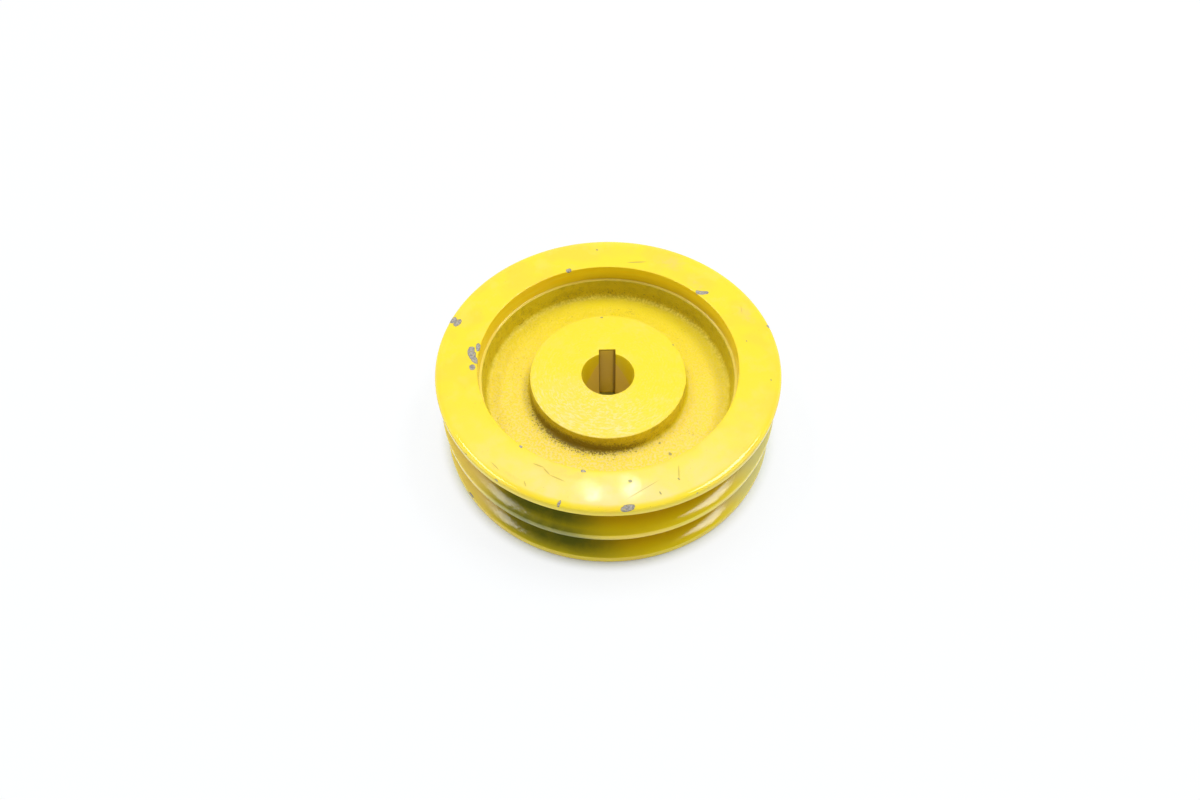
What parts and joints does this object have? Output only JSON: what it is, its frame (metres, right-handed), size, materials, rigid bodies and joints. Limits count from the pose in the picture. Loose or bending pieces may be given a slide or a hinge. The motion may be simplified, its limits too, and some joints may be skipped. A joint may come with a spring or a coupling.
{
  "type": "belt pulley",
  "caption": "Cast iron V-belt pulley with side-by-side grooves, a recessed web, a raised hub and a keyed bore, painted yellow; it carries belts on a shaft.",
  "frame": {"origin": "on the bore's axis, at the plane of the rim's back face, on which the pulley lies", "axes": "+Z along the bore, from the back face to the front face; +Y towards the keyway"},
  "size_m": [0.1605, 0.1604, 0.047],
  "materials": {
    "paint": "gloss enamel over a cast and turned surface, chipped to bare metal at the edges"
  },
  "bodies": {
    "root": {"pulley": "paint"}
  },
  "joints": []
}
